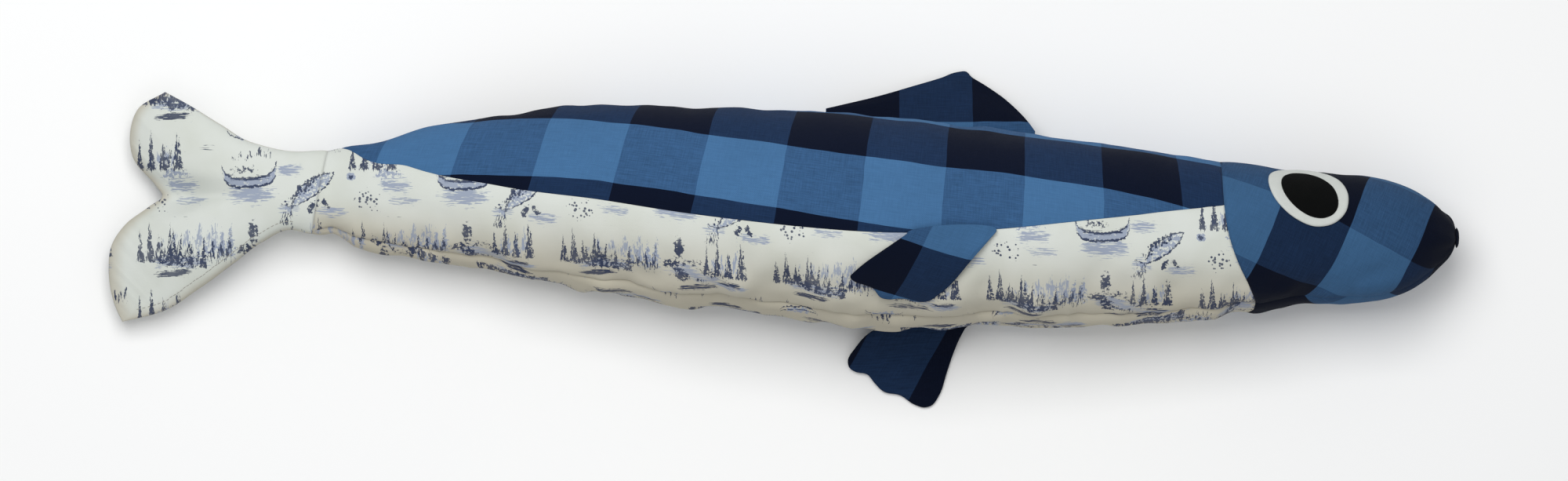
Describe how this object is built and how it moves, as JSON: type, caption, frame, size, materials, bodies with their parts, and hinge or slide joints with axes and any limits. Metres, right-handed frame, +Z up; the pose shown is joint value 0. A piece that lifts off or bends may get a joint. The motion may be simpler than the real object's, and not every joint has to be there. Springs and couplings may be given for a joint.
{
  "type": "stuffed fabric fish",
  "caption": "Long stuffed fabric fish with a checked back and head, printed cream belly, forked padded tail, cloth fins and felt eyes, lying on its flank.",
  "frame": {"origin": "on the floor, under the middle of the bounding box, with the fish lying on its left flank", "axes": "+X runs along the fish to its head, +Y is the side its back faces, +Z is up"},
  "size_m": [0.897, 0.2244, 0.1223],
  "materials": {
    "check_cotton": "matte woven buffalo check, light, mid and dark blue",
    "toile_cotton": "matte cream cotton with a blue-grey print",
    "filling": "loose white fibre",
    "white_felt": "matte felt",
    "black_felt": "matte felt"
  },
  "bodies": {
    "body": {"head_panel_right": "check_cotton", "back_panel_right": "check_cotton", "belly_panel_right": "toile_cotton", "eye_white_right": "white_felt", "pupil_right": "black_felt", "head_panel_left": "check_cotton", "back_panel_left": "check_cotton", "belly_panel_left": "toile_cotton", "eye_white_left": "white_felt", "pupil_left": "black_felt", "body_filling": "filling"},
    "tail": {"tail_panel_right": "toile_cotton", "tail_panel_left": "toile_cotton", "tail_filling": "filling"},
    "dorsal_fin": {"dorsal_fin_upper_ply": "check_cotton", "dorsal_fin_lower_ply": "check_cotton"},
    "pectoral_fin_right": {"pectoral_fin_right_upper_ply": "check_cotton", "pectoral_fin_right_lower_ply": "check_cotton"},
    "pectoral_fin_left": {"pectoral_fin_left_upper_ply": "check_cotton", "pectoral_fin_left_lower_ply": "check_cotton"}
  },
  "joints": [
    {"name": "tail_bend", "type": "hinge", "parent": "body", "child": "tail", "pos_m": [-0.3015, 0.03215, 0.03224], "axis": [0, 1, 0], "range_deg": [-40, 40], "stiffness_Nm_per_rad": 4},
    {"name": "dorsal_fin_swing", "type": "hinge", "parent": "body", "child": "dorsal_fin", "pos_m": [0.028, 0.08155, 0.02877], "axis": [0.9945, -0.1046, 0.0001], "range_deg": [-65, 75], "stiffness_Nm_per_rad": 0.1},
    {"name": "pectoral_fin_right_swing", "type": "hinge", "parent": "body", "child": "pectoral_fin_right", "pos_m": [0.081, 0.00484, 0.12087], "axis": [-0.998, -0.0433, 0.047], "range_deg": [0, 130], "stiffness_Nm_per_rad": 0.1},
    {"name": "pectoral_fin_left_swing", "type": "hinge", "parent": "body", "child": "pectoral_fin_left", "pos_m": [0.081, -0.04893, 0.01926], "axis": [-0.9961, -0.0518, 0.0712], "range_deg": [-50, 65], "stiffness_Nm_per_rad": 0.1}
  ]
}
